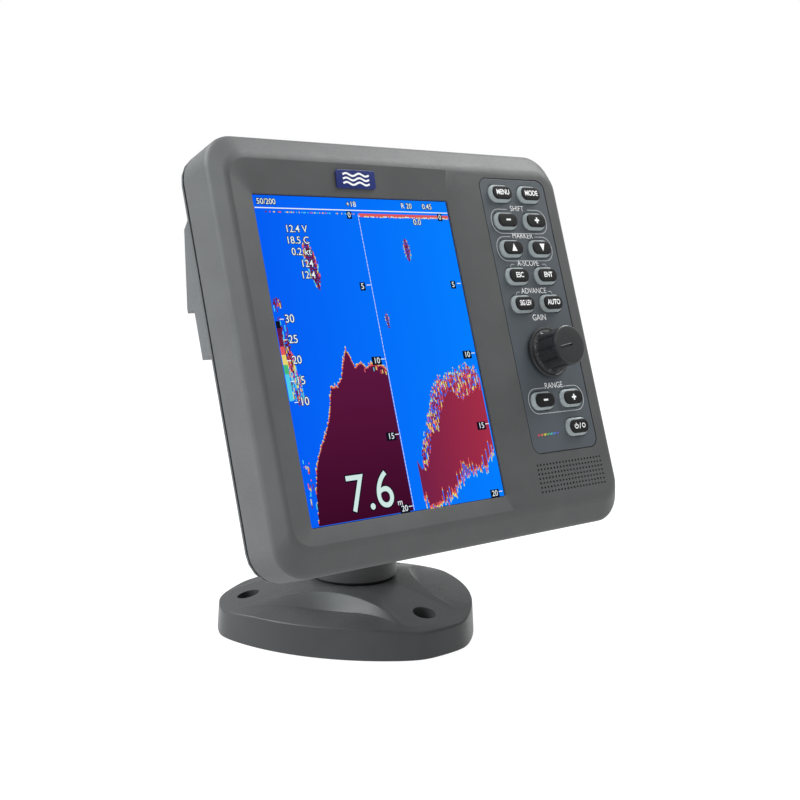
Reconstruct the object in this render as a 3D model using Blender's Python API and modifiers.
"""Fish finder on a tilt and swivel base, as separate closed solids with real clearances.

Lengths are metres.  The world frame has +Z up, its origin on the floor under the swivel axis, and
the screen faces -Y.  Every piece of the display is drawn in the panel frame: x to the right, y up
the panel and z out of it, with the origin at the centre of the flat front plane.  The panel frame
hangs on the tilt axis, and leans back in the rest pose.
"""
import math

import bmesh
import bpy
from mathutils import Matrix, Vector

# ---- driving dimensions -------------------------------------------------------------------------

CLEARANCE = 0.0003               # gap between touching solids

CASE_WIDTH = 0.202
CASE_HEIGHT = 0.190
CASE_CORNER = 0.015
RIM_DEPTH = 0.007                # the sloped outer rim, from the front plane back to the side wall
RIM_SIDE = 0.0055                # how far the rim slopes in at the sides
RIM_ENDS = 0.011                 # and at the top and bottom
CASE_WALL = 0.003
BEZEL_BACK = -0.027
COVER_FRONT = -0.0283
COVER_BACK = -0.031
COVER_WALL = 0.0027

SCREEN_WIDTH = 0.1067            # 7 inch, 3:4 portrait
SCREEN_HEIGHT = 0.1422
SCREEN_X = -0.0304
SCREEN_Y = -0.004
LIP_DEPTH = -0.0021              # the sloped frame ends here, at the lip round the window
LIP_BACK = -0.0032
FRAME_LEFT = -0.0945             # crest of the sloped frame round the screen
FRAME_RIGHT = 0.0333
FRAME_HALF_HEIGHT = 0.083
FRAME_CORNER = 0.009
FRONT_INNER = -0.0045            # inner face of the bezel's front wall

PAD_X = 0.0661                   # the keypad field
PAD_Y = 0.0103
PAD_WIDTH = 0.0444
PAD_HEIGHT = 0.1382
PAD_CORNER = 0.004
PAD_POCKET = -0.0011

KEY_COLUMNS = (PAD_X - 0.00965, PAD_X + 0.00965)
KEY_PITCH = 0.0141
KEY_TOP_ROW = 0.0712
KEY_RANGE_ROW = -0.0334
KEY_POWER_ROW = -0.0478
KEY_HOLE = (0.0156, 0.0098)
KEY_FOOT = (0.0148, 0.0090)
KEY_FACE = (0.0121, 0.0065)
KEY_FLANGE = (0.0176, 0.0118)
KEY_RISE = 0.0026
KEY_TRAVEL = 0.001

KNOB_Y = -0.0100
KNOB_SKIRT = 0.0126
KNOB_FLUTES = 9

GRILLE_Y = -0.0703
GRILLE_PITCH = 0.00214
GRILLE_COLUMNS = 21
GRILLE_ROWS = 7
GRILLE_HOLE = 0.0010

SOCKET_Y = 0.0185
SOCKET_X = {"power_socket": -0.052, "transducer_socket": 0.0, "position_socket": 0.052}

CASE_SCREWS = ((-0.0925, 0.0865), (0.0, 0.088), (0.0925, 0.0865),
               (-0.0925, -0.0865), (0.0, -0.088), (0.0925, -0.0865))
BRACKET_SCREWS = ((-0.026, -0.014), (0.026, -0.014), (-0.026, -0.060), (0.026, -0.060))

LEAN = math.radians(17.7)        # the display leans back this much in the rest pose
TILT_AXIS = (0.0, -0.0122, 0.0981)
TILT_Y = -0.032                  # the same axis in the panel frame
TILT_Z = -0.068
EAR_INNER = 0.013
EAR_OUTER = 0.021
EAR_RADIUS = 0.015

BASE_TURN = math.radians(2.6)    # the base stands turned a little under the display
SIDE_RADIUS = 0.110              # each long side of the base is an arc of this radius
SIDE_CENTRE = 0.0501             # and its centre lies this far beyond the swivel axis
LOBE_REACH = 0.0698              # the flat end of a lobe
LOBE_CORNER = 40.0               # sharpness of the corners between them
BASE_SIDE = 0.0152               # tallest height of the base's side wall
BASE_FOOT = 0.0004
HUB_RADIUS = 0.023
HUB_HEIGHT = 0.0242
DOME_FALL = 0.1442               # the dome's slope at the hub
DOME_CURVE = 2.16                # and how fast it steepens
BASE_SCREW_RING = 0.0542
ARC_CENTRE, ARC_RADIUS = 0.0987, 0.0687        # upper edge of a scoop
RIDGE_CENTRE, RIDGE_RADIUS = 0.1665, 0.1270    # ridge across a scoop
SCOOP_TIP = math.radians(42.0)
SCOOP_DROP = 0.0034
COLLAR_RADIUS = 0.0218
COLLAR_BOTTOM = 0.0254

# ---- scene, materials and small tools -----------------------------------------------------------


def clear_scene():
    for obj in list(bpy.data.objects):
        bpy.data.objects.remove(obj, do_unlink=True)


def new_collection(name):
    collection = bpy.data.collections.new(name)
    bpy.context.scene.collection.children.link(collection)
    return collection


def make_material(name, color, roughness, metallic=0.0):
    material = bpy.data.materials.new(name)
    material.use_nodes = True
    shader = material.node_tree.nodes["Principled BSDF"]
    shader.inputs["Base Color"].default_value = (*color, 1.0)
    shader.inputs["Roughness"].default_value = roughness
    shader.inputs["Metallic"].default_value = metallic
    return material


def make_frame(name, location, turn_x=0.0, turn_z=0.0, parent=None):
    frame = bpy.data.objects.new(name, None)
    frame.empty_display_size = 0.02
    frame.location = location
    frame.rotation_euler = (turn_x, 0.0, turn_z)
    frame.parent = parent
    PARTS.objects.link(frame)
    return frame


def to_mesh(bm, name):
    bmesh.ops.recalc_face_normals(bm, faces=bm.faces)
    mesh = bpy.data.meshes.new(name)
    bm.to_mesh(mesh)
    bm.free()
    return mesh


def smooth(mesh):
    mesh.shade_smooth()
    mesh.set_sharp_from_angle(angle=math.radians(35.0))


def add_part(name, bm, material, frame, at=(0.0, 0.0, 0.0)):
    """A sub-part: one closed mesh, placed in its frame."""
    mesh = to_mesh(bm, name)
    smooth(mesh)
    mesh.materials.append(MATERIALS[material])
    obj = bpy.data.objects.new(name, mesh)
    obj.parent = frame
    obj.location = at
    PARTS.objects.link(obj)
    return obj


def shape_with(target, bm, operation, label):
    """Cut a solid with a hidden tool, or join the tool to it.  Both share one local frame."""
    tool = bpy.data.objects.new(f"{target.name}_{label}", to_mesh(bm, label))
    tool.parent = target.parent
    tool.location = target.location
    tool.hide_render = True
    tool.display_type = "WIRE"
    CUTTERS.objects.link(tool)
    modifier = target.modifiers.new(label, "BOOLEAN")
    modifier.operation = operation
    modifier.solver = "EXACT"
    modifier.object = tool


def cut(target, bm, label):
    shape_with(target, bm, "DIFFERENCE", label)


def join(target, bm, label):
    shape_with(target, bm, "UNION", label)


def on_panel(x=0.0, y=0.0, z=0.0):
    """The place of a panel point in the tilt frame."""
    return (x, y - TILT_Y, z - TILT_Z)


# ---- shapes -------------------------------------------------------------------------------------


def add_box(bm, low, high, corner=0.0, steps=2):
    """A box between two corners, with its upright edges rounded."""
    made = bmesh.ops.create_cube(bm, size=1.0)["verts"]
    size = [high[i] - low[i] for i in range(3)]
    middle = [(high[i] + low[i]) / 2.0 for i in range(3)]
    bmesh.ops.scale(bm, vec=size, verts=made)
    bmesh.ops.translate(bm, vec=middle, verts=made)
    if corner > 0.0:
        edges = {edge for vert in made for edge in vert.link_edges}
        upright = [edge for edge in edges if abs((edge.verts[0].co - edge.verts[1].co).z) > 1e-6]
        bmesh.ops.bevel(bm, geom=upright, offset=corner, segments=steps, profile=0.5,
                        affect="EDGES", clamp_overlap=True)


def box(low, high, corner=0.0, steps=3):
    bm = bmesh.new()
    add_box(bm, low, high, corner, steps)
    return bm


def plate(x, y, width, height, z_low, z_high, corner=0.0, steps=3):
    """A flat rounded plate centred on a panel point."""
    low = (x - width / 2.0, y - height / 2.0, z_low)
    high = (x + width / 2.0, y + height / 2.0, z_high)
    return box(low, high, corner, steps)


def add_cylinder(bm, radius, start, end, segments=16, top_radius=None):
    """A cylinder or cone between two points on one axis."""
    start, end = Vector(start), Vector(end)
    axis = end - start
    turn = Vector((0.0, 0.0, 1.0)).rotation_difference(axis).to_matrix().to_4x4()
    matrix = Matrix.Translation((start + end) / 2.0) @ turn
    second = radius if top_radius is None else top_radius
    bmesh.ops.create_cone(bm, cap_ends=True, segments=segments, radius1=radius, radius2=second,
                          depth=axis.length, matrix=matrix)


def cylinder(radius, start, end, segments=16):
    bm = bmesh.new()
    add_cylinder(bm, radius, start, end, segments)
    return bm


def rounded_rectangle(half_x, half_y, corner, z, centre=(0.0, 0.0), steps=5):
    """A ring of points round a rounded rectangle, at one height."""
    ring = []
    for quarter, (sign_x, sign_y) in enumerate(((1, 1), (-1, 1), (-1, -1), (1, -1))):
        middle_x = centre[0] + sign_x * (half_x - corner)
        middle_y = centre[1] + sign_y * (half_y - corner)
        for step in range(steps + 1):
            angle = math.pi / 2.0 * (quarter + step / steps)
            ring.append((middle_x + corner * math.cos(angle), middle_y + corner * math.sin(angle), z))
    return ring


def loft(rings):
    """A closed solid through rings of equal length, with flat ends."""
    bm = bmesh.new()
    made = [[bm.verts.new(point) for point in ring] for ring in rings]
    count = len(made[0])
    for lower, upper in zip(made, made[1:]):
        for i in range(count):
            j = (i + 1) % count
            bm.faces.new((lower[i], lower[j], upper[j], upper[i]))
    bm.faces.new(list(reversed(made[0])))
    bm.faces.new(made[-1])
    return bm


def turned(name, profile, material, frame, at, segments=14):
    """A turned solid: (radius, height) points from the top centre down the outer side."""
    mesh = bpy.data.meshes.new(name)
    bm = bmesh.new()
    points = [bm.verts.new((radius, 0.0, height)) for radius, height in profile]
    for upper, lower in zip(points, points[1:]):
        bm.edges.new((upper, lower))
    bm.to_mesh(mesh)
    bm.free()
    mesh.materials.append(MATERIALS[material])
    obj = bpy.data.objects.new(name, mesh)
    obj.parent = frame
    obj.location = at
    PARTS.objects.link(obj)
    screw = obj.modifiers.new("turn", "SCREW")
    screw.steps = segments
    screw.render_steps = segments
    screw.use_merge_vertices = True
    screw.merge_threshold = 0.00001
    return obj


def inset_profile(points, distance):
    """A polygon's points, moved inward by one distance from each side."""
    area = sum(a[0] * b[1] - b[0] * a[1] for a, b in zip(points, points[1:] + points[:1]))
    side = 1.0 if area > 0.0 else -1.0
    lines = []
    for a, b in zip(points, points[1:] + points[:1]):
        along = (Vector(b) - Vector(a)).normalized()
        inward = Vector((-along.y, along.x)) * side
        lines.append((Vector(a) + inward * distance, along))
    moved = []
    for (p, d), (q, e) in zip(lines[-1:] + lines[:-1], lines):
        reach = (q - p).cross(e) / d.cross(e)
        moved.append(tuple(p + d * reach))
    return moved


def across_prism(profile, half_width):
    """A solid across the panel: a (y, z) profile, as wide at each point as half_width(z) says."""
    left = [(-half_width(z), y, z) for y, z in profile]
    right = [(half_width(z), y, z) for y, z in profile]
    return loft([left, right])


def lobed_ring(radius, depth, lobes, height, count, phase=0.0):
    """A ring of points whose radius dips between its lobes."""
    ring = []
    for i in range(count):
        angle = math.tau * i / count
        reach = radius - depth * (0.5 - 0.5 * math.cos(lobes * (angle - phase)))
        ring.append((reach * math.cos(angle), reach * math.sin(angle), height))
    return ring


# ---- the display's case -------------------------------------------------------------------------

HALF_W = CASE_WIDTH / 2.0
HALF_H = CASE_HEIGHT / 2.0


def case_ring(z, inset=0.0):
    return rounded_rectangle(HALF_W - inset, HALF_H - inset, CASE_CORNER - inset, z)


def key_places():
    """Each key's name and its place on the panel."""
    left, right = KEY_COLUMNS
    rows = (("menu", "mode"), ("shift_minus", "shift_plus"), ("marker_up", "marker_down"),
            ("escape", "enter"), ("level", "auto"))
    places = []
    for index, names in enumerate(rows):
        y = KEY_TOP_ROW - KEY_PITCH * index
        places += [(f"{names[0]}_key", left, y), (f"{names[1]}_key", right, y)]
    places += [("range_minus_key", left, KEY_RANGE_ROW), ("range_plus_key", right, KEY_RANGE_ROW)]
    places.append(("power_key", right, KEY_POWER_ROW))
    return places


def screen_plate(margin, z_low, z_high, corner=0.002):
    return plate(SCREEN_X, SCREEN_Y, SCREEN_WIDTH + margin, SCREEN_HEIGHT + margin,
                 z_low, z_high, corner, 2)


def make_front_bezel(frame):
    crest = rounded_rectangle(HALF_W - RIM_SIDE, HALF_H - RIM_ENDS, 0.010, 0.0)
    shell = loft([case_ring(BEZEL_BACK), case_ring(-RIM_DEPTH), crest])
    bezel = add_part("front_bezel", shell, "case", frame, on_panel())

    inner = HALF_W - CASE_WALL, HALF_H - CASE_WALL, CASE_CORNER - CASE_WALL
    cavity = loft([rounded_rectangle(*inner, BEZEL_BACK - 0.002),
                   rounded_rectangle(*inner, -0.0095),
                   rounded_rectangle(inner[0] - RIM_SIDE, inner[1] - RIM_ENDS, 0.008, FRONT_INNER)])
    cut(bezel, cavity, "cavity")

    posts = bmesh.new()
    for x, y in CASE_SCREWS:
        add_cylinder(posts, 0.005, (x, y, -0.0142), (x, y, BEZEL_BACK + 0.0002), 10)
    join(bezel, posts, "posts")

    # The sloped frame is a straight cone from the lip to the crest, drawn on past the front plane.
    lip = (SCREEN_WIDTH / 2.0 + 0.0003, SCREEN_HEIGHT / 2.0 + 0.0003)
    crest_half = ((FRAME_RIGHT - FRAME_LEFT) / 2.0, FRAME_HALF_HEIGHT)
    crest_x = (FRAME_RIGHT + FRAME_LEFT) / 2.0
    lip_corner = 0.001
    beyond = rounded_rectangle(2.0 * crest_half[0] - lip[0], 2.0 * crest_half[1] - lip[1],
                               2.0 * FRAME_CORNER - lip_corner, -LIP_DEPTH,
                               (2.0 * crest_x - SCREEN_X, -SCREEN_Y))
    opening = loft([rounded_rectangle(*lip, lip_corner, -0.006, (SCREEN_X, SCREEN_Y)),
                    rounded_rectangle(*lip, lip_corner, LIP_DEPTH, (SCREEN_X, SCREEN_Y)),
                    beyond])
    cut(bezel, opening, "opening")
    cut(bezel, screen_plate(0.0053, -0.0065, LIP_BACK), "rebate")
    cut(bezel, plate(PAD_X, PAD_Y, PAD_WIDTH, PAD_HEIGHT, PAD_POCKET, 0.002, PAD_CORNER), "pocket")

    holes = bmesh.new()
    for _, x, y in key_places():
        add_box(holes, (x - KEY_HOLE[0] / 2.0, y - KEY_HOLE[1] / 2.0, -0.007),
                (x + KEY_HOLE[0] / 2.0, y + KEY_HOLE[1] / 2.0, 0.003), KEY_HOLE[1] * 0.49, 3)
    add_cylinder(holes, 0.0038, (PAD_X, KNOB_Y, -0.007), (PAD_X, KNOB_Y, 0.003))
    for x, y in CASE_SCREWS:
        add_cylinder(holes, 0.0022, (x, y, -0.0152), (x, y, BEZEL_BACK - 0.002), 10)
    for column in range(GRILLE_COLUMNS):
        for row in range(GRILLE_ROWS):
            x = PAD_X + GRILLE_PITCH * (column - (GRILLE_COLUMNS - 1) / 2.0)
            y = GRILLE_Y + GRILLE_PITCH * (row - (GRILLE_ROWS - 1) / 2.0)
            add_cylinder(holes, GRILLE_HOLE / 2.0, (x, y, -0.006), (x, y, 0.002), 4)
    cut(bezel, holes, "holes")


HUMP_PROFILE = [(0.0685, -0.0300), (0.0650, -0.0430), (0.0330, -0.0585), (0.0310, -0.0585),
                (0.0300, -0.0485), (0.0070, -0.0485), (0.0055, -0.0300)]
HUMP_HALF_WIDTH = 0.0985
HUMP_DRAFT = math.tan(math.radians(12.0))


def hump_half_width(z, inset=0.0):
    return HUMP_HALF_WIDTH - inset - HUMP_DRAFT * (COVER_BACK - z)


def make_rear_cover(frame):
    shell = loft([case_ring(COVER_BACK, 0.0015), case_ring(COVER_BACK + 0.0015),
                  case_ring(COVER_FRONT)])
    cover = add_part("rear_cover", shell, "case", frame, on_panel())
    join(cover, across_prism(HUMP_PROFILE, hump_half_width), "hump")
    posts = bmesh.new()
    for x, y in BRACKET_SCREWS:
        add_cylinder(posts, 0.0052, (x, y, -0.0181), (x, y, COVER_BACK + 0.001), 12)
    for x in (-0.074, 0.074):
        add_cylinder(posts, 0.0033, (x, -0.068, -0.0179), (x, -0.068, COVER_BACK + 0.001), 8)
        add_cylinder(posts, 0.0033, (x, 0.0725, -0.0179), (x, 0.0725, COVER_BACK + 0.001), 8)
    join(cover, posts, "board_posts")

    inner = inset_profile(HUMP_PROFILE, COVER_WALL)
    inner[0] = (inner[0][0], COVER_FRONT)
    inner[-1] = (inner[-1][0], COVER_FRONT)
    cut(cover, across_prism(inner, lambda z: hump_half_width(z, COVER_WALL)), "hollow")

    stands = bmesh.new()
    for x in (-0.074, 0.074):
        add_cylinder(stands, 0.0033, (x, 0.0170, -0.0379), (x, 0.0170, -0.0470), 8)
        add_cylinder(stands, 0.0033, (x, 0.0550, -0.0379), (x, 0.0550, -0.0460), 8)
    join(cover, stands, "stands")

    holes = bmesh.new()
    for x, y in CASE_SCREWS:
        add_cylinder(holes, 0.0023, (x, y, -0.027), (x, y, -0.033), 10)
    for x, y in BRACKET_SCREWS:
        add_cylinder(holes, 0.0028, (x, y, -0.0195), (x, y, -0.033), 10)
    for x in SOCKET_X.values():
        add_cylinder(holes, 0.0078, (x, SOCKET_Y, -0.044), (x, SOCKET_Y, -0.050))
    cut(cover, holes, "holes")


def make_case_gasket(frame):
    z_low, z_high = COVER_FRONT + CLEARANCE, BEZEL_BACK - CLEARANCE
    gasket = add_part("case_gasket", loft([case_ring(z_low, 0.0006), case_ring(z_high, 0.0006)]),
                      "rubber", frame, on_panel())
    cut(gasket, loft([case_ring(z_low - 0.001, 0.0026), case_ring(z_high + 0.001, 0.0026)]), "middle")


def make_screen(frame):
    window = screen_plate(0.0047, -0.0053, LIP_BACK - CLEARANCE)
    add_part("screen_window", window, "window", frame, on_panel())
    seal = add_part("window_seal", screen_plate(0.0047, -0.0066, -0.0056), "rubber", frame, on_panel())
    cut(seal, screen_plate(0.0010, -0.0080, -0.0040), "middle")
    panel = screen_plate(0.0073, -0.0083, -0.0069)
    add_part("lcd_panel", panel, "screen", frame, on_panel())
    backlight = plate(SCREEN_X, SCREEN_Y, 0.1185, 0.1560, -0.0136, -0.0086, 0.002, 2)
    add_part("lcd_backlight", backlight, "backlight", frame, on_panel())


def make_keypad(frame):
    overlay = plate(PAD_X, PAD_Y, PAD_WIDTH - 0.0008, PAD_HEIGHT - 0.0008,
                    PAD_POCKET + CLEARANCE, 0.0, PAD_CORNER - 0.0004)
    overlay = add_part("keypad_overlay", overlay, "overlay", frame, on_panel())
    holes = bmesh.new()
    for _, x, y in key_places():
        add_box(holes, (x - KEY_HOLE[0] / 2.0, y - KEY_HOLE[1] / 2.0, -0.002),
                (x + KEY_HOLE[0] / 2.0, y + KEY_HOLE[1] / 2.0, 0.001), KEY_HOLE[1] * 0.49)
    add_cylinder(holes, 0.0065, (PAD_X, KNOB_Y, -0.002), (PAD_X, KNOB_Y, 0.001))
    cut(overlay, holes, "holes")
    board = plate(PAD_X, PAD_Y, 0.043, 0.138, -0.0102, -0.0086, 0.002, 2)
    add_part("key_board", board, "circuit_board", frame, on_panel())


def stadium(size, z):
    """A ring round a key's long rounded outline."""
    corner = size[1] * 0.49
    return rounded_rectangle(size[0] / 2.0, size[1] / 2.0, corner, z, steps=2)


def make_keys(frame):
    """Each key: a tapered cap, a flange that keeps it behind the bezel, and a stem over its dome."""
    flange_top = FRONT_INNER - CLEARANCE
    flange_bottom = flange_top - 0.0012
    stem = (0.0060, 0.0050)
    for name, x, y in key_places():
        rings = [stadium(stem, flange_bottom - 0.0010), stadium(stem, flange_bottom),
                 stadium(KEY_FLANGE, flange_bottom), stadium(KEY_FLANGE, flange_top),
                 stadium(KEY_FOOT, flange_top), stadium(KEY_FOOT, 0.0),
                 stadium(KEY_FACE, KEY_RISE)]
        add_part(name, loft(rings), "key", frame, on_panel(x, y))


def make_gain_control(frame):
    """The knob and its shaft turn together; the encoder and its nut stay on the bezel."""
    at = on_panel(PAD_X, KNOB_Y)
    grip = 9
    rings = []
    for height, radius, depth in ((0.0008, KNOB_SKIRT, 0.0), (0.0024, KNOB_SKIRT - 0.0001, 0.0),
                                  (0.0044, 0.0110, 0.0001), (0.0062, 0.0104, 0.0008),
                                  (0.0135, 0.0099, 0.0009), (0.0147, 0.0096, 0.0002),
                                  (0.0160, 0.00935, 0.0), (0.0168, 0.0080, 0.0)):
        rings.append(lobed_ring(radius, depth, KNOB_FLUTES, height, 4 * grip))
    knob = add_part("gain_knob", loft(rings), "knob", frame, at)
    hollow = bmesh.new()
    add_cylinder(hollow, 0.0070, (0.0, 0.0, -0.001), (0.0, 0.0, 0.0046), 20)
    cut(knob, hollow, "hollow")
    cut(knob, cylinder(0.0026, (0.0, 0.0, 0.0), (0.0, 0.0, 0.0125)), "bore")

    add_part("gain_shaft", cylinder(0.0023, (0.0, 0.0, -0.0075), (0.0, 0.0, 0.0122)), "steel", frame, at)

    encoder = add_part("gain_encoder", box((-0.006, -0.0065, -0.0083), (0.006, 0.0065, -0.0048)),
                       "steel", frame, at)
    join(encoder, cylinder(0.0035, (0.0, 0.0, -0.006), (0.0, 0.0, 0.003)), "bushing")
    cut(encoder, cylinder(0.0026, (0.0, 0.0, -0.0079), (0.0, 0.0, 0.004)), "bore")

    nut = add_part("encoder_nut", cylinder(0.0056, (0.0, 0.0, -0.0008), (0.0, 0.0, 0.0012), 6),
                   "steel", frame, at)
    cut(nut, cylinder(0.0038, (0.0, 0.0, -0.002), (0.0, 0.0, 0.002)), "bore")


def make_speaker(frame):
    speaker = plate(0.0, 0.0, 0.044, 0.016, -0.0063, -0.0048, 0.0075)
    speaker = add_part("speaker", speaker, "speaker", frame, on_panel(PAD_X, GRILLE_Y))
    join(speaker, plate(0.0, 0.0, 0.036, 0.013, -0.0105, -0.0060, 0.006), "basket")
    join(speaker, cylinder(0.0058, (0.0, 0.0, -0.0100), (0.0, 0.0, -0.0135)), "magnet")


def make_badge(frame):
    """A blank plate on the upper slope of the screen frame."""
    lip_y = SCREEN_Y + SCREEN_HEIGHT / 2.0
    slope = math.atan2(-LIP_DEPTH, FRAME_HALF_HEIGHT - lip_y)
    middle_y = 0.0752
    surface = LIP_DEPTH + (middle_y - lip_y) * math.tan(slope)
    badge = plate(0.0, 0.0, 0.0215, 0.0084, CLEARANCE, CLEARANCE + 0.0006, 0.0012)
    badge = add_part("badge_plate", badge, "badge", frame, on_panel(-0.0296, middle_y, surface))
    badge.rotation_euler.x = slope


def make_boards(frame):
    board = add_part("main_board", plate(0.0, 0.0, 0.160, 0.152, -0.0176, -0.0160, 0.003, 2),
                     "circuit_board", frame, on_panel())
    chips = bmesh.new()
    for x, y, width, height, thick in ((-0.045, 0.030, 0.024, 0.024, 0.002), (0.0, 0.040, 0.014, 0.020, 0.0015),
                                       (0.050, 0.035, 0.018, 0.018, 0.002), (-0.055, -0.030, 0.012, 0.040, 0.005),
                                       (0.058, -0.040, 0.030, 0.012, 0.004)):
        add_box(chips, (x - width / 2.0, y - height / 2.0, -0.0174 - thick),
                (x + width / 2.0, y + height / 2.0, -0.0168))
    join(board, chips, "chips")

    add_part("power_board", plate(0.0, 0.0365, 0.168, 0.046, -0.0376, -0.0360, 0.003, 2),
             "circuit_board", frame, on_panel())
    core = add_part("transmit_transformer", plate(-0.045, 0.0415, 0.024, 0.013, -0.0470, -0.0379, 0.002, 2),
                    "ferrite", frame, on_panel())
    join(core, cylinder(0.0090, (-0.045, 0.0415, -0.0385), (-0.045, 0.0415, -0.0448), 20), "winding")

    sink = add_part("heat_sink", box((0.012, 0.020, -0.0357), (0.072, 0.056, -0.0257)),
                    "aluminium", frame, on_panel())
    slots = bmesh.new()
    for index in range(6):
        x = 0.018 + 0.0092 * index
        add_box(slots, (x, 0.018, -0.0330), (x + 0.0050, 0.058, -0.0240))
    cut(sink, slots, "slots")


def make_sockets(frame):
    """Three panel sockets under the ledge of the hump, each held by a nut inside."""
    profile = ((0.0, -0.0410), (0.0074, -0.0410), (0.0074, -0.0488), (0.0095, -0.0488),
               (0.0095, -0.0508), (0.0077, -0.0508), (0.0077, -0.0580), (0.0062, -0.0580),
               (0.0062, -0.0514), (0.0, -0.0514))
    for name, x in SOCKET_X.items():
        turned(name, profile, "socket", frame, on_panel(x, SOCKET_Y))
        nut = add_part(f"{name}_nut", cylinder(0.0098, (0.0, 0.0, -0.0426), (0.0, 0.0, -0.0455), 6),
                       "steel", frame, on_panel(x, SOCKET_Y))
        cut(nut, cylinder(0.0077, (0.0, 0.0, -0.040), (0.0, 0.0, -0.048)), "bore")


def make_screws(name, places, head, shaft, heights, frame):
    """Pan head screws from behind: heights are the shaft's end, the head's seat and its top."""
    tip, seat, top = heights
    profile = ((0.0, tip), (shaft, tip), (shaft, seat), (head, seat), (head, top + 0.0006),
               (head * 0.75, top), (0.0, top))
    for index, (x, y) in enumerate(places, start=1):
        turned(f"{name}_{index}", profile, "steel", frame, on_panel(x, y), 8)


# ---- the tilt bracket and its clamp -------------------------------------------------------------

BRACKET_FRONT = COVER_BACK - CLEARANCE
BRACKET_BACK = BRACKET_FRONT - 0.004


def ear_outline(x):
    """One ear: two straight sides from the plate, and a round end about the tilt axis."""
    ring = [(x, TILT_Y + 0.020, BRACKET_BACK + 0.001)]
    start, end = math.radians(-8.0), math.radians(188.0)
    steps = 12
    for step in range(steps + 1):
        angle = start + (end - start) * step / steps
        ring.append((x, TILT_Y + EAR_RADIUS * math.cos(angle), TILT_Z - EAR_RADIUS * math.sin(angle)))
    ring.append((x, TILT_Y - 0.022, BRACKET_BACK + 0.001))
    return ring


def make_mount_bracket(frame):
    bracket = plate(0.0, TILT_Y - 0.005, 0.066, 0.058, BRACKET_BACK, BRACKET_FRONT, 0.006)
    bracket = add_part("mount_bracket", bracket, "casting", frame, on_panel())
    for side, label in ((-1.0, "left_ear"), (1.0, "right_ear")):
        join(bracket, loft([ear_outline(side * EAR_INNER), ear_outline(side * EAR_OUTER)]), label)
    holes = bmesh.new()
    add_cylinder(holes, 0.0043, (-0.03, TILT_Y, TILT_Z), (0.03, TILT_Y, TILT_Z), 16)
    for x, y in BRACKET_SCREWS:
        add_cylinder(holes, 0.0028, (x, y, -0.029), (x, y, -0.039), 10)
    cut(bracket, holes, "holes")


def make_tilt_clamp(frame):
    """A hex bolt through both ears, friction washers beside the post's head, and a star knob."""
    bolt = cylinder(0.0075, (-EAR_OUTER - 0.0056, 0.0, 0.0), (-EAR_OUTER - CLEARANCE, 0.0, 0.0), 6)
    bolt = add_part("tilt_bolt", bolt, "steel", frame)
    join(bolt, cylinder(0.0040, (-EAR_OUTER - 0.002, 0.0, 0.0), (0.038, 0.0, 0.0)), "shaft")
    for side, name in ((-1.0, "tilt_washer_left"), (1.0, "tilt_washer_right")):
        inner, outer = side * 0.0113, side * (EAR_INNER - CLEARANCE)
        washer = add_part(name, cylinder(0.012, (inner, 0.0, 0.0), (outer, 0.0, 0.0), 24), "nylon", frame)
        cut(washer, cylinder(0.0044, (inner - side * 0.002, 0.0, 0.0), (outer + side * 0.002, 0.0, 0.0)), "bore")

    rings = []
    for reach, radius, depth in ((0.0213, 0.0090, 0.0), (0.0265, 0.0095, 0.0), (0.0285, 0.0185, 0.0035),
                                 (0.0300, 0.0200, 0.0040), (0.0390, 0.0200, 0.0040), (0.0415, 0.0175, 0.0030)):
        rings.append([(height, y, x) for x, y, height in lobed_ring(radius, depth, 6, reach, 36)])
    knob = add_part("tilt_knob", loft(rings), "knob", frame)
    cut(knob, cylinder(0.0043, (0.020, 0.0, 0.0), (0.0385, 0.0, 0.0)), "bore")


# ---- the post and the base ----------------------------------------------------------------------


def make_post(frame):
    """The turned collar rises and leans forward into a narrow head between the bracket's ears."""
    rings = []
    for z, y, half_x, half_y in ((COLLAR_BOTTOM, 0.0, COLLAR_RADIUS, COLLAR_RADIUS),
                                 (0.0400, 0.0, COLLAR_RADIUS, COLLAR_RADIUS),
                                 (0.0450, -0.0005, 0.0205, 0.0207),
                                 (0.0560, -0.0025, 0.0165, 0.0175),
                                 (0.0700, -0.0060, 0.0128, 0.0155),
                                 (0.0840, -0.0095, 0.0108, 0.0145),
                                 (0.0960, -0.0120, 0.0108, 0.0135)):
        ring = []
        for i in range(28):
            angle = math.tau * i / 28
            ring.append((half_x * math.cos(angle), y + half_y * math.sin(angle), z))
        rings.append(ring)
    post = add_part("swivel_post", loft(rings), "casting", frame)
    across = [TILT_AXIS[1], TILT_AXIS[2]]
    join(post, cylinder(0.0145, (-0.011, *across), (0.011, *across), 28), "head")
    join(post, cylinder(0.0097, (0.0, 0.0, 0.0065), (0.0, 0.0, 0.030), 20), "spigot")
    cut(post, cylinder(0.0043, (-0.02, *across), (0.02, *across)), "bolt_hole")
    cut(post, cylinder(0.0027, (0.0, 0.0, 0.005), (0.0, 0.0, 0.020), 12), "screw_hole")

    washer = add_part("retaining_washer", cylinder(0.013, (0.0, 0.0, 0.0046), (0.0, 0.0, 0.0062), 24),
                      "steel", frame)
    cut(washer, cylinder(0.0027, (0.0, 0.0, 0.003), (0.0, 0.0, 0.008), 12), "bore")
    turned("swivel_screw", ((0.0, 0.0180), (0.0024, 0.0180), (0.0024, 0.0043), (0.0045, 0.0043),
                            (0.0045, 0.0027), (0.0035, 0.0022), (0.0, 0.0022)),
           "steel", frame, (0.0, 0.0, 0.0), 10)


BASE_STEPS = 60


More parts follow.
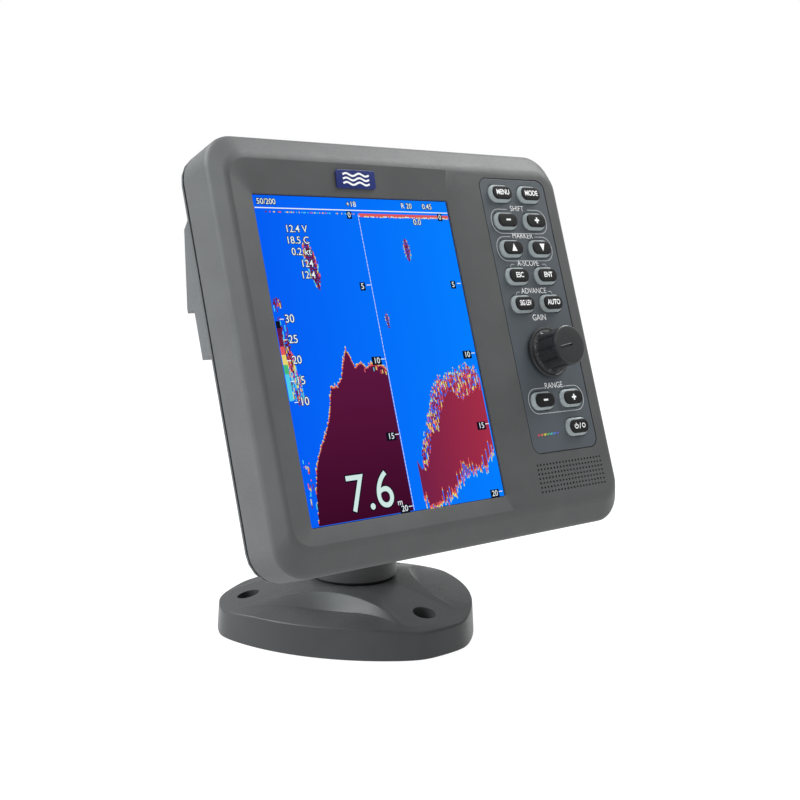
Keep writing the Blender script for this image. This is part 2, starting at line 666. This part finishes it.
def base_reach(angle):
    """Radius of the outline: three long curved sides and three short flat ends, softly joined."""
    from_lobe = abs(math.tau / 6.0 - (angle + math.pi / 2.0 + math.tau / 6.0) % (math.tau / 3.0))
    from_side = math.tau / 6.0 - from_lobe
    across = SIDE_CENTRE * math.sin(from_side)
    side = math.sqrt(SIDE_RADIUS ** 2 - across ** 2) - SIDE_CENTRE * math.cos(from_side)
    end = LOBE_REACH / math.cos(from_lobe)
    return (side ** -LOBE_CORNER + end ** -LOBE_CORNER) ** (-1.0 / LOBE_CORNER)


def from_scoop_middle(angle):
    """Angle from the middle of the nearest scoop, which lies half way between two lobes."""
    third = math.tau / 3.0
    return (angle + math.pi / 2.0) % third - third / 2.0


def arc_reach(offset, centre, radius):
    """Near crossing of a ray with a circle whose centre is out along the scoop's middle."""
    inside = radius ** 2 - (centre * math.sin(offset)) ** 2
    if inside <= 0.0:
        return centre
    return centre * math.cos(offset) - math.sqrt(inside)


def dome_height(reach):
    out = reach - HUB_RADIUS
    return HUB_HEIGHT - DOME_FALL * out - DOME_CURVE * out ** 2


def rim_height(reach):
    """Height of the side wall's top edge, where the dome meets it or at its tallest."""
    return min(dome_height(reach), BASE_SIDE)


def base_ring(reach_at, height_at):
    ring = []
    for i in range(BASE_STEPS):
        angle = math.tau * i / BASE_STEPS
        reach = reach_at(angle)
        ring.append((reach * math.cos(angle), reach * math.sin(angle), height_at(angle, reach)))
    return ring


def scoop_depth(angle, _reach=0.0):
    share = abs(from_scoop_middle(angle)) / SCOOP_TIP
    return SCOOP_DROP * max(0.0, 1.0 - share ** 2)


def make_swivel_base(frame):
    rim = 0.975

    def ridge_reach(angle):
        return min(arc_reach(from_scoop_middle(angle), RIDGE_CENTRE, RIDGE_RADIUS),
                   0.975 * rim * base_reach(angle))

    def upper_reach(angle):
        return min(arc_reach(from_scoop_middle(angle), ARC_CENTRE, ARC_RADIUS),
                   0.94 * rim * base_reach(angle))

    body = loft([
        base_ring(base_reach, lambda a, r: BASE_FOOT),
        base_ring(lambda a: 0.988 * base_reach(a), lambda a, r: rim_height(r) - 0.0008),
        base_ring(lambda a: rim * base_reach(a), lambda a, r: rim_height(r)),
        base_ring(ridge_reach, lambda a, r: dome_height(r) - scoop_depth(a)),
        base_ring(upper_reach, lambda a, r: dome_height(r)),
        base_ring(lambda a: HUB_RADIUS, lambda a, r: HUB_HEIGHT)])
    base = add_part("swivel_base", body, "base", frame)

    def inset(amount):
        return lambda a: base_reach(a) - amount

    hollow = loft([base_ring(inset(0.0032), lambda a, r: -0.001),
                   base_ring(inset(0.0042), lambda a, r: 0.0100),
                   base_ring(lambda a: 0.028, lambda a, r: 0.0170)])
    cut(base, hollow, "hollow")

    lobes = [-math.pi / 2.0 + math.tau / 3.0 * index for index in range(3)]
    places = [(BASE_SCREW_RING * math.cos(a), BASE_SCREW_RING * math.sin(a)) for a in lobes]
    posts = bmesh.new()
    add_cylinder(posts, 0.0150, (0.0, 0.0, 0.0068), (0.0, 0.0, 0.0200), 24)
    for x, y in places:
        add_cylinder(posts, 0.0080, (x, y, 0.0023), (x, y, 0.0146), 16)
    join(base, posts, "posts")

    holes = bmesh.new()
    add_cylinder(holes, 0.0101, (0.0, 0.0, 0.004), (0.0, 0.0, 0.030), 24)
    for x, y in places:
        add_cylinder(holes, 0.0028, (x, y, 0.001), (x, y, 0.007), 12)
    cut(base, holes, "holes")
    sinks = bmesh.new()
    for x, y in places:
        add_cylinder(sinks, 0.0053, (x, y, 0.006), (x, y, 0.025), 16)
    cut(base, sinks, "sinks")

    pad = add_part("base_pad", loft([base_ring(inset(0.0046), lambda a, r: 0.0),
                                     base_ring(inset(0.0046), lambda a, r: 0.0019)]), "rubber", frame)
    openings = bmesh.new()
    for x, y in places:
        add_cylinder(openings, 0.0035, (x, y, -0.001), (x, y, 0.003), 12)
    cut(pad, openings, "openings")

    washer = add_part("swivel_washer", cylinder(0.0200, (0.0, 0.0, 0.0245), (0.0, 0.0, 0.0251), 32),
                      "nylon", frame)
    cut(washer, cylinder(0.0104, (0.0, 0.0, 0.020), (0.0, 0.0, 0.030), 24), "bore")


# ---- build --------------------------------------------------------------------------------------

clear_scene()
PARTS = new_collection("fish_finder")
CUTTERS = new_collection("cutters")
MATERIALS = {
    "case": make_material("case", (0.105, 0.113, 0.118), 0.48),
    "base": make_material("base", (0.125, 0.130, 0.132), 0.50),
    "casting": make_material("casting", (0.060, 0.062, 0.064), 0.45),
    "rubber": make_material("rubber", (0.020, 0.020, 0.020), 0.80),
    "window": make_material("window", (0.02, 0.10, 0.45), 0.06),
    "screen": make_material("screen", (0.0, 0.13, 0.90), 0.30),
    "backlight": make_material("backlight", (0.750, 0.750, 0.720), 0.40),
    "overlay": make_material("overlay", (0.120, 0.138, 0.160), 0.42),
    "key": make_material("key", (0.030, 0.032, 0.033), 0.50),
    "knob": make_material("knob", (0.035, 0.037, 0.040), 0.30),
    "speaker": make_material("speaker", (0.030, 0.030, 0.030), 0.60),
    "badge": make_material("badge", (0.020, 0.035, 0.160), 0.25),
    "socket": make_material("socket", (0.045, 0.045, 0.045), 0.40),
    "nylon": make_material("nylon", (0.550, 0.540, 0.500), 0.50),
    "ferrite": make_material("ferrite", (0.060, 0.060, 0.060), 0.55),
    "circuit_board": make_material("circuit_board", (0.020, 0.150, 0.060), 0.45),
    "steel": make_material("steel", (0.560, 0.560, 0.550), 0.30, 1.0),
    "aluminium": make_material("aluminium", (0.700, 0.700, 0.710), 0.35, 1.0),
}

base_frame = make_frame("base_frame", (0.0, 0.0, 0.0), turn_z=BASE_TURN)
swivel_frame = make_frame("swivel_frame", (0.0, 0.0, 0.0))
tilt_frame = make_frame("tilt_frame", TILT_AXIS, turn_x=math.pi / 2.0 - LEAN, parent=swivel_frame)

make_swivel_base(base_frame)
make_post(swivel_frame)
make_mount_bracket(tilt_frame)
make_tilt_clamp(tilt_frame)
make_screws("bracket_screw", BRACKET_SCREWS, 0.0045, 0.0024,
            (-0.0205, BRACKET_BACK - CLEARANCE, BRACKET_BACK - 0.0033), tilt_frame)
make_rear_cover(tilt_frame)
make_case_gasket(tilt_frame)
make_front_bezel(tilt_frame)
make_screws("case_screw", CASE_SCREWS, 0.0036, 0.0019,
            (-0.0160, COVER_BACK - CLEARANCE, COVER_BACK - 0.0026), tilt_frame)
make_screen(tilt_frame)
make_keypad(tilt_frame)
make_keys(tilt_frame)
make_gain_control(tilt_frame)
make_speaker(tilt_frame)
make_badge(tilt_frame)
make_boards(tilt_frame)
make_sockets(tilt_frame)
